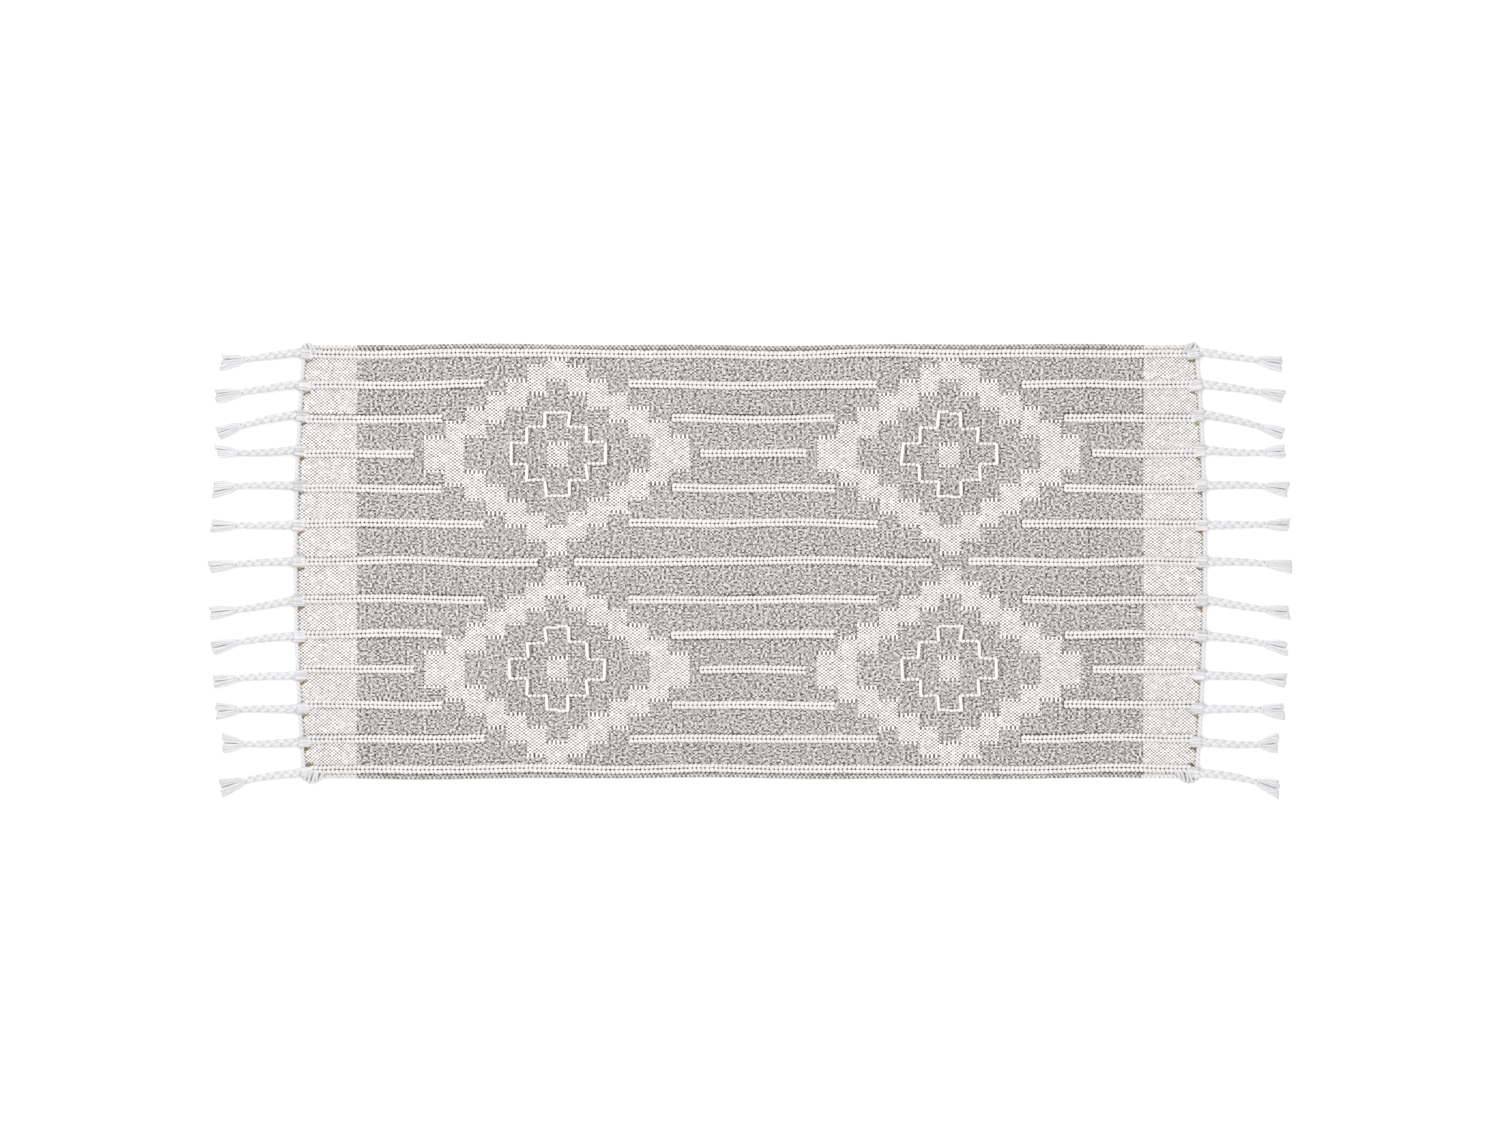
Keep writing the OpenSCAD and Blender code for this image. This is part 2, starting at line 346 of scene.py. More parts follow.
def add_grains(shape, place, size, slant, tone):
    """Adds one yarn float for each place: size is its half axes, slant turns it about Z."""
    n, m = len(place), len(GRAIN)
    size = size * RANDOM.uniform(0.94, 1.06, (n, 3))
    local = GRAIN[None] * size[:, None, :]
    c, s = np.cos(slant)[:, None], np.sin(slant)[:, None]
    x = local[..., 0] * c - local[..., 1] * s
    y = local[..., 0] * s + local[..., 1] * c
    co = np.stack([x, y, local[..., 2]], -1) + place[:, None, :]
    first = m * np.arange(n)[:, None, None]
    faces = [(f[None] + first).reshape(-1, f.shape[1]) for f in GRAIN_FACES]
    tones = np.repeat(tone * RANDOM.uniform(0.93, 1.0, n), m)
    angle = np.tile(GRAIN_ANGLE, n)
    twist = np.stack([np.cos(2 * angle), np.sin(2 * angle), local[..., 0].ravel()], 1)
    shape.add(co.reshape(-1, 3), faces, tones, twist)


# ---------------------------------------------------------------- materials

# How many times the fibres, the fuzz and the large faint patches repeat in a metre
FIBRE_SCALE = 1400.0
FUZZ_SCALE = 260.0
PATCH_SCALE = 9.0
# The patches multiply the tone by this much at least, and by PATCH_SPREAD more at most
PATCH_LEAST = 0.95
PATCH_SPREAD = 0.10
# Length of one turn of the plies, and how much they change the tone and the relief
TWIST_PITCH = 0.0035
TWIST_TONE = 0.05
TWIST_RELIEF = 0.8
RELIEF_STRENGTH = 0.35
RELIEF_DEPTH = 0.0004


def cotton(name, dark, light, roughness, mottle, twist=0.0):
    """Cotton yarn: the tone mixes dark and light, and fibres and twisted plies break it up."""
    mat = bpy.data.materials.new(name)
    mat.use_nodes = True
    nodes, links = mat.node_tree.nodes, mat.node_tree.links
    shader = nodes["Principled BSDF"]
    shader.inputs["Roughness"].default_value = roughness
    shader.inputs["Specular IOR Level"].default_value = 0.2
    shader.inputs["Sheen Weight"].default_value = 0.12
    shader.inputs["Sheen Roughness"].default_value = 0.6

    def node(kind, **values):
        made = nodes.new(kind)
        for key, value in values.items():
            setattr(made, key, value)
        return made

    def maths(operation, *values):
        made = node("ShaderNodeMath", operation=operation)
        for socket, value in zip(made.inputs, values):
            if isinstance(value, (int, float)):
                socket.default_value = value
            else:
                links.new(value, socket)
        return made.outputs[0]

    place = node("ShaderNodeTexCoord").outputs["Object"]

    def noise(scale, detail):
        made = node("ShaderNodeTexNoise")
        made.inputs["Scale"].default_value = scale
        made.inputs["Detail"].default_value = detail
        links.new(place, made.inputs["Vector"])
        return made.outputs["Fac"]

    fibre = noise(FIBRE_SCALE, 3.0)
    tone = node("ShaderNodeAttribute", attribute_name="tone").outputs["Fac"]
    mixed = maths("ADD", tone, maths("MULTIPLY_ADD", fibre, mottle * 2, -mottle))
    patch = maths("MULTIPLY_ADD", noise(PATCH_SCALE, 2.0), PATCH_SPREAD, PATCH_LEAST)
    mixed = maths("MULTIPLY", mixed, patch)
    height = maths("ADD", fibre, noise(FUZZ_SCALE, 2.0))
    if twist:
        spun = node("ShaderNodeAttribute", attribute_name="twist").outputs["Vector"]
        parts = node("ShaderNodeSeparateXYZ")
        links.new(spun, parts.inputs[0])
        turns = maths("MULTIPLY", parts.outputs["Z"], TAU / TWIST_PITCH)
        ply = maths("SUBTRACT", maths("MULTIPLY", maths("COSINE", turns), parts.outputs["X"]),
                    maths("MULTIPLY", maths("SINE", turns), parts.outputs["Y"]))
        mixed = maths("ADD", mixed, maths("MULTIPLY", ply, TWIST_TONE * twist))
        height = maths("ADD", height, maths("MULTIPLY", ply, TWIST_RELIEF * twist))

    ramp = node("ShaderNodeMix", data_type="RGBA", clamp_factor=True)
    ramp.inputs["A"].default_value = (*dark, 1)
    ramp.inputs["B"].default_value = (*light, 1)
    links.new(mixed, ramp.inputs["Factor"])
    links.new(ramp.outputs["Result"], shader.inputs["Base Color"])
    relief = node("ShaderNodeBump")
    relief.inputs["Strength"].default_value = RELIEF_STRENGTH
    relief.inputs["Distance"].default_value = RELIEF_DEPTH
    links.new(height, relief.inputs["Height"])
    links.new(relief.outputs["Normal"], shader.inputs["Normal"])
    return mat


GREY = cotton("grey_melange", dark=(0.030, 0.028, 0.024), light=(0.71, 0.69, 0.66),
              roughness=0.92, mottle=0.14)
WHITE = cotton("white_weave", dark=(0.060, 0.052, 0.042), light=(0.86, 0.838, 0.825),
               roughness=0.92, mottle=0.08)
BEAD = cotton("bead_yarn", dark=(0.08, 0.075, 0.068), light=(0.775, 0.762, 0.757),
              roughness=0.9, mottle=0.06, twist=0.6)
TASSEL = cotton("tassel_yarn", dark=(0.11, 0.11, 0.12), light=(0.68, 0.672, 0.685),
                roughness=0.9, mottle=0.05, twist=1.0)
THREAD = cotton("hem_thread", dark=(0.040, 0.030, 0.012), light=(0.31, 0.225, 0.085),
                roughness=0.6, mottle=0.10, twist=1.0)

# ---------------------------------------------------------------- which crossing is what


def inside(node):
    """The crossings that lie under a flat CAD node, found by looking down at it."""
    mesh = frame["nodes"][node].data
    tree = BVHTree.FromPolygons([v.co for v in mesh.vertices], [p.vertices for p in mesh.polygons])
    low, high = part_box(node)
    mask = np.zeros((COLS, ROWS), bool)
    near = ((CENTRE_X > low.x) & (CENTRE_X < high.x) & (CENTRE_Y > low.y) & (CENTRE_Y < high.y))
    for i, j in zip(*np.nonzero(near)):
        start = Vector((CENTRE_X[i, j], CENTRE_Y[i, j], 1.0))
        mask[i, j] = tree.ray_cast(start, Vector((0, 0, -1)))[0] is not None
    return mask


def grown(mask, rows):
    """A mask that reaches some rows further both ways."""
    wider = mask.copy()
    for reach in range(1, rows + 1):
        wider[:, reach:] |= mask[:, :-reach]
        wider[:, :-reach] |= mask[:, reach:]
    return wider


def toothed(mask):
    """Even columns reach a row further and odd ones stop a row short: the yarns interlock."""
    return np.where(EVEN_COLUMN, grown(mask, 1), ~grown(~mask, 1))


def rib_runs(row):
    """The stretches of one rib row, as pairs of x."""
    mesh = frame["nodes"][f"rib_row_{row:02d}"].data
    stops = sorted({round(v.co.x, 5) for v in mesh.vertices})
    return list(zip(stops[::2], stops[1::2]))


def line_levels(values):
    """Distances of an outline's lines from its middle: each line has two edges."""
    edges = sorted({round(abs(v), 5) for v in values})
    return [(low + high) / 2 for low, high in zip(edges[::2], edges[1::2])]


def outline_lines(node):
    """Middle of an outline, and the distances of its lines from it along X and along Y."""
    low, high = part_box(node)
    mid = (low + high) / 2
    corners = [v.co - mid for v in frame["nodes"][node].data.vertices]
    return mid, line_levels([c.x for c in corners]), line_levels([c.y for c in corners])[::-1]


# From where to where the painted shade on the right of an outline's line reaches, measured from the
# line
SIDE_SHADE_SPAN = (0.0027, 0.0056)


def outline_side_shade():
    """The crossings on the right of each line that runs across the rug: painted shade beside the
    raised yarn.
    """
    found = np.zeros((COLS, ROWS), bool)
    for node in OUTLINES:
        mid, xs, ys = outline_lines(node)
        for x, outer, inner in zip(xs, ys, ys[1:] + [-ys[-1]]):
            for edge in (-1, 1):
                away = CENTRE_X - mid.x - edge * x
                tall = np.abs(CENTRE_Y - mid.y)
                found |= (away > SIDE_SHADE_SPAN[0]) & (away < SIDE_SHADE_SPAN[1]) & (tall < outer) & (tall > inner)
    return found


def step_lines():
    """The crossings where one step of a diamond meets the next."""
    found = np.zeros((COLS, ROWS), bool)
    for node in DIAMONDS:
        low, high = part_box(node)
        across = (CENTRE_Y > low.y) & (CENTRE_Y < high.y)
        for stop in sorted({round(v.co.x, 5) for v in frame["nodes"][node].data.vertices}):
            found |= (np.abs(CENTRE_X - stop) < WEFT / 2) & across
    return found


def near_ribs(low, high):
    """The crossings whose distance to the rear of a rib row's middle is between two limits."""
    found = np.zeros((COLS, ROWS), bool)
    for row, y in enumerate(ROW_Y, 1):
        away = CENTRE_Y - y
        for start, stop in rib_runs(row):
            found |= (away >= low) & (away < high) & (CENTRE_X > start) & (CENTRE_X < stop)
    return found


# A rib row hides the crossings under it, except those this near to its edges
RIB_MARGIN = 0.0022
RIB_HALF = (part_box("rib_row_01")[1].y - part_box("rib_row_01")[0].y) / 2
DIAMONDS = {f"diamond_{band}_{side}": toothed(inside(f"diamond_{band}_{side}"))
            for band in ("rear", "front") for side in SIDES}
OUTLINES = [f"outline_{band}_{side}" for band in ("rear", "front") for side in SIDES]
SQUARES = toothed(inside("diamond_centres"))
IN_BAND = {"left": COLUMN < BAND_N, "right": COLUMN >= COLS - BAND_N}
RIB_COVER = RIB_HALF - RIB_MARGIN
HIDDEN = near_ribs(-RIB_COVER, RIB_COVER)
# Painted shade: crossings just to the rear and front of a rib row, in every second column, darkened
# as the shade in the notches between its floats
RIB_REAR_SHADE = near_ribs(RIB_COVER, RIB_COVER + WARP) & EVEN_COLUMN
RIB_FRONT_SHADE = near_ribs(-RIB_COVER - WARP, -RIB_COVER) & EVEN_COLUMN
# Painted shade on the right of each outline line that runs across the rug
OUTLINE_SIDE_SHADE = outline_side_shade()
STEP_LINES = step_lines()
PATTERN = SQUARES | np.logical_or.reduce(list(DIAMONDS.values()))
BESIDE = np.roll(PATTERN, 1, axis=0) | np.roll(PATTERN, -1, axis=0)
TEETH = PATTERN & ~BESIDE
BETWEEN_TEETH = grown(PATTERN, 1) & ~PATTERN & ~EVEN_COLUMN
PLAIN = ~PATTERN & ~HIDDEN & ~IN_BAND["left"] & ~IN_BAND["right"]


# ---------------------------------------------------------------- the cloth

# A weave's tones run from 0, the material's dark, to 1, its light. Each pair is one crossing's
# middle and its rim, first of a light crossing and then of a dark one.
# A light crossing's rim is a little darker than its middle: painted shade between the yarns
BAND_TONES = ((1.0, 0.92), (0.0, 0.52))
DIAMOND_TONES = ((1.0, 0.96), (0.0, 0.46))
SQUARE_TONES = ((1.0, 0.94), (0.0, 0.42))
# How much chance changes the tone of light crossings and of dark ones
CHANCE_LIGHT = 0.06
CHANCE_DARK = 0.15
# The ground: its mean tone, its spread, how far neighbours differ, and its fine streaks
GROUND_MEAN = 0.52
GROUND_SPREAD = 0.27
GROUND_EVENNESS = 0.9
GROUND_TURN = 0.11
STREAK = 0.08
# Painted light and shade that round each crossing: its middle is lighter and its rim darker
MIDDLE_HIGHLIGHT = 0.08
RIM_SHADE = 0.04
PLY_TONE = 0.20


def melange(shape, dark_share, dark, light):
    """Random yarn tones: some crossings show the dark ply of the twisted yarn."""
    is_dark = RANDOM.random(shape) < dark_share
    return np.where(is_dark, RANDOM.uniform(*dark, shape), RANDOM.uniform(*light, shape))


def two_tone(over, under):
    """Light and dark crossings take turns; each is the tone of its centre and of its rim."""
    light = (PARITY == 0) | TEETH
    chance = RANDOM.normal(0, 1, (COLS, ROWS)) * np.where(light, CHANCE_LIGHT, CHANCE_DARK)
    return tuple(np.where(light, over[k], under[k]) + chance for k in (0, 1))


def marled():
    """Chance tones of yarn spun from dark and light plies, with no large patches."""
    chance = RANDOM.normal(0, 1, (COLS, ROWS))
    around = sum(np.roll(chance, (i, j), (0, 1)) for i in (-1, 0, 1) for j in (-1, 0, 1)) / 9
    tone = chance - GROUND_EVENNESS * around
    tone += RANDOM.normal(0, STREAK, (COLS, 1)) + RANDOM.normal(0, STREAK, (1, ROWS))
    return np.clip(GROUND_MEAN + GROUND_SPREAD * tone / tone.std(), 0, 1)


def shade(tones, *changes):
    """Darkens or lightens crossings: each change is a mask and a factor."""
    for mask, factor in changes:
        for tone in tones:
            tone[mask] *= factor


def make_ground():
    """The grey melange ground, in strips, with painted shade on the crossings beside the rib rows
    and the outlines' lines.
    """
    tone = marled() + np.where(PARITY == 0, GROUND_TURN, -GROUND_TURN)
    tones = (tone + MIDDLE_HIGHLIGHT, tone - RIM_SHADE)
    # Painted shade beside the rib rows and on the right of the outlines' lines
    shade(tones, (RIB_REAR_SHADE, 0.15), (RIB_FRONT_SHADE, 0.30), (BETWEEN_TEETH, 0.40),
          (OUTLINE_SIDE_SHADE, 0.50), (STEP_LINES, 1.12))
    ply = PLY_TONE * np.sign(RANDOM.normal(0, 1, (COLS, ROWS)))
    pieces = []
    for strip in range(GROUND_STRIPS):
        first, last = (ROWS * k // GROUND_STRIPS for k in (strip, strip + 1))
        mask = np.zeros((COLS, ROWS), bool)
        mask[:, first:last] = PLAIN[:, first:last]
        shape = woven(mask, CLOTH_TOP, CLOTH_TOP - GAP_DROP, WEAVE_BOTTOM, *tones, ply)
        pieces.append(piece(f"ground_weave_{strip + 1}", shape, GREY))
    return pieces


def make_bands():
    """The white woven ends, each with a turned edge at both of its sides."""
    tones = two_tone(*BAND_TONES)
    # Painted shade to the rear of the rib rows
    shade(tones, (RIB_REAR_SHADE, 0.35))
    made = {}
    for side in SIDES:
        mask = IN_BAND[side] & ~HIDDEN
        shape = woven(mask, CLOTH_TOP, CLOTH_TOP - GAP_DROP, WEAVE_BOTTOM, *tones)
        for edge in (-1, 1):
            add_selvedge(shape, SIDES[side] * GROUND[1].x, SIDES[side] * float(end_x(HALF_W)), edge,
                         tone=0.75, dark=(0.5, 0.9))
        made[side] = piece(f"band_weave_{side}", shape, WHITE)
    return made


def make_diamonds():
    """The stepped white diamonds and the small squares inside them, in the same weave."""
    tones = two_tone(*DIAMOND_TONES)
    shade(tones, (STEP_LINES, 0.97))
    made = []
    for name, mask in DIAMONDS.items():
        shape = woven(mask, DIAMOND_TOP, DIAMOND_TOP - GAP_DROP, WEAVE_BOTTOM, *tones)
        obj = piece(f"{name}_weave", shape, WHITE)
        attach(obj, ROOT)
        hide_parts(name)
        made.append(obj)
    tones = two_tone(*SQUARE_TONES)
    shape = woven(SQUARES, DIAMOND_TOP, DIAMOND_TOP - GAP_DROP, WEAVE_BOTTOM, *tones)
    obj = piece("diamond_centre_weave", shape, WHITE)
    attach(obj, ROOT)
    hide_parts("diamond_centres")
    return made + [obj]


SELVEDGE_SIDES = 12
SELVEDGE_SWELL = 0.10
# Rings of a selvedge for each weft that turns back
TURN_RINGS = 3


def add_selvedge(shape, start, stop, edge, tone, dark):
    """The turned edge: a bump for each weft that turns back, and dark bumps between light ones."""
    width = HALF_W - GROUND[1].y
    bumps = round(abs(stop - start) / WEFT)
    x = np.linspace(start, stop, TURN_RINGS * bumps + 1)
    ring = np.arange(len(x))
    swell = 1 + SELVEDGE_SWELL * np.abs(np.sin(ring * math.pi / TURN_RINGS))
    y = np.full(len(x), edge * (HALF_W - width / 2))
    z = np.full(len(x), CLOTH_TOP / 2)
    path = np.stack([x, y, z], 1)
    co, faces, tones, twist = tube(path, width / 2 * swell, SELVEDGE_SIDES, (0, 0, 1),
                                   flat=CLOTH_TOP / width)
    quarter = np.arange(SELVEDGE_SIDES) // (SELVEDGE_SIDES // 4)
    bump = ring[:, None] // TURN_RINGS + quarter[None, :]
    tones[:-2] *= np.where(bump % 2 == 0, melange(bump.shape, 0.8, dark, (0.4, 0.8)),
                           melange(bump.shape, 0.1, dark, (0.85, 1.2))).ravel()
    shape.add(co, faces, tone * tones, twist)


def make_hems():
    """The turned grey edges along both long sides."""
    made = []
    for name, edge in (("front", -1), ("rear", 1)):
        shape = Shape()
        add_selvedge(shape, -GROUND[1].x, GROUND[1].x, edge, tone=0.80, dark=(0.0, 0.35))
        obj = piece(f"long_hem_{name}_edge", shape, GREY)
        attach(obj, ROOT)
        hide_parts(f"long_hem_{name}")
        made.append(obj)
    return made


def make_base():
    """The cloth that all the yarn relief is part of, with a bump below each four crossings."""
    step = 2
    x, y = CORNER_X[::step, ::step], CORNER_Y[::step]
    y_grid = np.broadcast_to(y, x.shape)
    top = np.stack([x, y_grid, np.full(x.shape, BASE_TOP)], -1).reshape(-1, 3)
    low = np.stack([x, y_grid, np.full(x.shape, GAP_DROP / 2)], -1).reshape(-1, 3)
    mid_x = (x[:-1, :-1] + x[1:, :-1] + x[:-1, 1:] + x[1:, 1:]) / 4
    mid_y = np.broadcast_to((y[:-1] + y[1:]) / 2, mid_x.shape)
    under = np.stack([mid_x, mid_y, np.zeros(mid_x.shape)], -1).reshape(-1, 3)
    number = np.arange(x.size).reshape(x.shape)
    a, b = number[:-1, :-1].ravel(), number[1:, :-1].ravel()
    c, d = number[1:, 1:].ravel(), number[:-1, 1:].ravel()
    n = x.size
    m = 2 * n + np.arange(mid_x.size)
    faces = [np.stack([a, b, c, d], 1)]
    faces += [np.stack([q + n, p + n, m], 1) for p, q in ((a, b), (b, c), (c, d), (d, a))]
    rim = np.concatenate([number[:, 0], number[-1, 1:], number[-2::-1, -1], number[0, -2:0:-1]])
    nxt = np.roll(rim, -1)
    faces.append(np.stack([nxt, rim, rim + n, nxt + n], 1))
    white = np.abs(x).ravel() > GROUND[1].x
    white_mid = np.abs(mid_x).ravel() > GROUND[1].x
    top_tone = np.where(white, 0.45, 0.10)
    low_tone = np.where(white, 0.75, 0.45)
    mid_tone = np.where(white_mid, 0.95, melange(white_mid.shape, 0.3, (0.1, 0.4), (0.6, 1.0)))
    shape = Shape()
    shape.add(np.concatenate([top, low, under]), faces,
              np.concatenate([top_tone, low_tone, mid_tone]))
    obj = piece("cloth", shape, GREY)
    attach(obj, ROOT)
    return obj


# ---------------------------------------------------------------- raised yarn

FLOAT_PITCH = 2 * WEFT
# Floats and outlines are sunk into the cloth by this much
RIB_SUNK = 0.0009
OUTLINE_SUNK = 0.0006
# Each line of a rib row: offset from its middle, and which way its floats lean
RIB_LINES = ((-0.0029, -1), (0.0029, 1))
RIB_LEAN = math.radians(37)
# Half length and half width of a float
RIB_FLOAT = (0.0038, 0.0029)
OUTLINE_FLOAT = (0.0030, 0.0024)
RIB_TONE = 0.87
RIB_TONE_ON_BAND = 0.83
OUTLINE_TONE = 0.92
# An outline's smooth line: its half width, and how far its ends and the beaded lines stray
OUTLINE_R = 0.0023
OUTLINE_POINTS = 11
END_STRAY = 0.0021
LINE_STRAY = 0.0015


def make_ribs():
    """Each rib row is a flat plait: two lines of leaning floats, with a hole between each four."""
    made = []
    rise = (RIB_TOP - CLOTH_TOP) / 2 + RIB_SUNK
    for row, y in enumerate(ROW_Y, 1):
        shape = Shape()
        sway, long_sway = RANDOM.uniform(0, TAU, 2)
        for start, stop in rib_runs(row):
            count = round((stop - start) / FLOAT_PITCH)
            for offset, lean in RIB_LINES:
                x = start + (np.arange(count) + 0.5) * (stop - start) / count
                wander = 0.0005 * np.sin(x * 31 + sway) + 0.0006 * np.sin(x * 13 + long_sway)
                wander += RANDOM.normal(0, 0.00018, len(x))
                z = RIB_TOP - rise - RANDOM.uniform(0, 0.00025, len(x))
                place = np.stack([x, y + offset + wander, z], 1)
                slant = lean * RIB_LEAN * RANDOM.uniform(0.8, 1.15, len(x))
                tone = np.where(np.abs(x) > GROUND[1].x, RIB_TONE_ON_BAND, RIB_TONE)
                add_grains(shape, place, np.array([*RIB_FLOAT, rise]), slant, tone)
        obj = piece(f"rib_row_{row:02d}_yarn", shape, BEAD)
        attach(obj, ROOT)
        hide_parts(f"rib_row_{row:02d}")
        made.append(obj)
    return made


def make_outlines():
    """Hand-laid lines: rows of floats along the rug, and smooth raised yarn across it."""
    made = []
    rise = (OUTLINE_TOP - CLOTH_TOP) / 2 + OUTLINE_SUNK
    z = OUTLINE_TOP - rise
    for node in OUTLINES:
        mid, xs, ys = outline_lines(node)
        shape = Shape()
        for sx in (-1, 1):
            for sy in (-1, 1):
                for y, start, stop in zip(ys, [0.0] + xs, xs):
                    add_beaded_line(shape, mid, sx * start, sx * stop, sy * y, z, rise)
                for x, outer, inner in zip(xs[:-1], ys, ys[1:]):
                    add_smooth_line(shape, mid, sx * x, sy * outer, sy * inner, z, rise)
            add_smooth_line(shape, mid, sx * xs[-1], -ys[-1], ys[-1], z, rise)
        obj = piece(f"{node}_yarn", shape, BEAD)
        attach(obj, ROOT)
        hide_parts(node)
        made.append(obj)
    return made


def add_beaded_line(shape, mid, start, stop, y, z, rise):
    """A line of floats along the rug, from start to stop beyond the outline's middle."""
    count = max(2, round(abs(stop - start) / FLOAT_PITCH))
    x = start + (np.arange(count) + 0.5) * (stop - start) / count
    lift = RANDOM.uniform(-LINE_STRAY, LINE_STRAY) + RANDOM.normal(0, 0.00025, count)
    place = np.stack([mid.x + x, mid.y + y + lift, np.full(count, z)], 1)
    lean = np.full(count, 0.3 * np.sign(start + stop) * np.sign(y))
    add_grains(shape, place, np.array([*OUTLINE_FLOAT, rise]), lean, OUTLINE_TONE)


def add_smooth_line(shape, mid, x, start, stop, z, rise):
    """A raised yarn across the rug, a little longer than its step and narrower at its ends."""
    overrun = RANDOM.uniform(0.0002, 0.0020) * np.sign(start - stop)
    y = np.linspace(start + overrun, stop, OUTLINE_POINTS)
    ends = RANDOM.uniform(-END_STRAY, END_STRAY, 2)
    x_path = mid.x + x + np.linspace(*ends, OUTLINE_POINTS)
    path = np.stack([x_path, mid.y + y, np.full(OUTLINE_POINTS, z)], 1)
    k = np.arange(OUTLINE_POINTS)
    blunt = 1 - 0.35 * np.exp(-1.6 * np.minimum(k, k[::-1]))
    swell = OUTLINE_R * blunt * (1 + 0.05 * np.sin(k * 2.1))
    shape.add(*tube(path, swell, 14, (0, 0, 1), flat=rise / OUTLINE_R, tone=OUTLINE_TONE))


# ---------------------------------------------------------------- ends

UP = np.array([0.0, 0.0, 1.0])
CORD_POINTS = 420
CORD_TURN = 0.020
# How far a tassel pulls the cord in, over what stretch of it, and how far the cord lies out
CORD_PULL = 0.0010
PULL_REACH = 0.011
CORD_OUT = 0.0005


def end_frame(side, y):
    """Point on the end cord at y, with the outward and the sideways direction there."""
    lean = math.asin(y / BOW_R)
    out = np.array([SIDES[side] * math.cos(lean), math.sin(lean), 0.0])
    aside = np.array([-out[1], out[0], 0.0]) * SIDES[side]
    origin = np.array([SIDES[side] * float(end_x(y)), y, 0.0])
    return origin, out, aside


def make_cord(side):
    """The end cord: three twisted plies, pulled in a little at each tassel."""
    y = np.linspace(-HALF_W + CORD_R, HALF_W - CORD_R, CORD_POINTS)
    pull = np.zeros(len(y))
    for middle in TASSEL_Y:
        pull += np.exp(-((y - middle) / PULL_REACH) ** 2)
    x = SIDES[side] * (end_x(y) + CORD_OUT - CORD_PULL * pull)
    path = np.stack([x, y, np.full(len(y), CORD_R)], 1)
    shape = Shape()
    shape.add(*tube(path, CORD_R * 0.98, 16, (0, 0, 1), lobes=3, lobe_depth=0.05,
                    turn=TAU / CORD_TURN))
    obj = piece(f"end_cord_{side}_yarn", shape, TASSEL, warp=False)
    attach(obj, ROOT)
    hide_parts(f"end_cord_{side}")
    return obj


# Distance outwards from the cord and height above the cloth of a knot yarn, from the band to
# the tassel
KNOT_STOPS = np.array([[-0.0135, -0.0012], [-0.0105, 0.0006], [-0.0060, 0.0013], [-0.0020, 0.0030],
                       [0.0016, 0.0032], [0.0045, 0.0006], [0.0056, -0.0025]])
KNOT_YARN = 0.00115
KNOT_YARNS = 9
# Half width of a knot, at the band and at the tassel
KNOT_HALF = (0.0070, 0.0050)
# Yarns of the first and last tassels that wrap the cloth's corners: where, which way, how many
# of them, and how far they stand out beyond the long edge
CORNER_WRAPS = ((HALF_W, 1, 3, 0.0035), (-HALF_W, -1, 5, 0.0075))
WRAP_R = 0.0021
WRAP_PITCH = 0.0052
WRAP_START = 0.0005


def add_corner_wrap(shape, side, y, edge, count, beyond):
    """A lump of yarns that pass round the long edge, beside the end cord."""
    end = float(end_x(HALF_W))
    for k in range(count):
        out = beyond * math.sin(math.pi * (k + 0.8) / (count + 0.6))
        x = SIDES[side] * (end - WRAP_START - WRAP_PITCH * k)
        lean = SIDES[side] * RANDOM.uniform(0.001, 0.004)
        stops = [(x - 2 * lean, y - edge * 0.0105, CLOTH_TOP + 0.0002),
                 (x - lean, y - edge * 0.0045, CLOTH_TOP + 0.0022),
                 (x, y + edge * (out - 0.0028), CLOTH_TOP + 0.0010),
                 (x + lean, y + edge * (out - 0.0022), 0.0026),
                 (x + 2 * lean, y - edge * 0.0040, 0.0024)]
        path = smooth_path(np.array(stops), 20)
        shape.add(*tube(path, WRAP_R, 12, (1, 0, 0), lobes=3, lobe_depth=0.08, turn=TAU / 0.016,
                        tone=RANDOM.uniform(0.85, 1.0)))


def make_knots(side):
    """The yarns of each tassel, which come out of the band and pass over the cord."""
    shape = Shape()
    for middle in TASSEL_Y:
        origin, out, aside = end_frame(side, middle)
        for k in np.linspace(-1, 1, KNOT_YARNS):
            stops = np.zeros((len(KNOT_STOPS), 3))
            stops[:, 0] = KNOT_STOPS[:, 0]
            stops[0:2, 0] += 0.0030 * abs(k) - RANDOM.uniform(0, 0.0025)
            stops[:, 1] = k * np.linspace(*KNOT_HALF, len(stops)) + RANDOM.normal(0, 0.00025)
            stops[:, 2] = CLOTH_TOP + KNOT_STOPS[:, 1] + RANDOM.uniform(-0.0004, 0.0002)
            path = smooth_path(stops, 22)
            world = origin + path[:, :1] * out + path[:, 1:2] * aside + path[:, 2:] * UP
            shape.add(*tube(world, KNOT_YARN, 8, aside, tone=RANDOM.uniform(0.62, 1.04)))
    for y, edge, count, beyond in CORNER_WRAPS:
        add_corner_wrap(shape, side, y, edge, count, beyond)
    obj = piece(f"tassel_knots_{side}_yarn", shape, TASSEL, warp=False)
    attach(obj, ROOT)
    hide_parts(f"tassel_knots_{side}")
    return obj


# The two loose stitches beside a tassel: how far in from the cord, how far beside the tassel,
# and half their length
LOOSE_STITCHES = ((0.0076, 0.0098, 0.0044), (0.0056, 0.0116, 0.0024))
LOOSE_R = 0.0008
# The small stitches along the cord: pitch, how far in from it, half their length and radius
HEM_PITCH = 0.0059
HEM_IN = 0.0040
HEM_HALF = 0.0009
HEM_R = 0.00055
# No small stitch lies this near to the middle of a tassel
KNOT_CLEAR = 0.0085


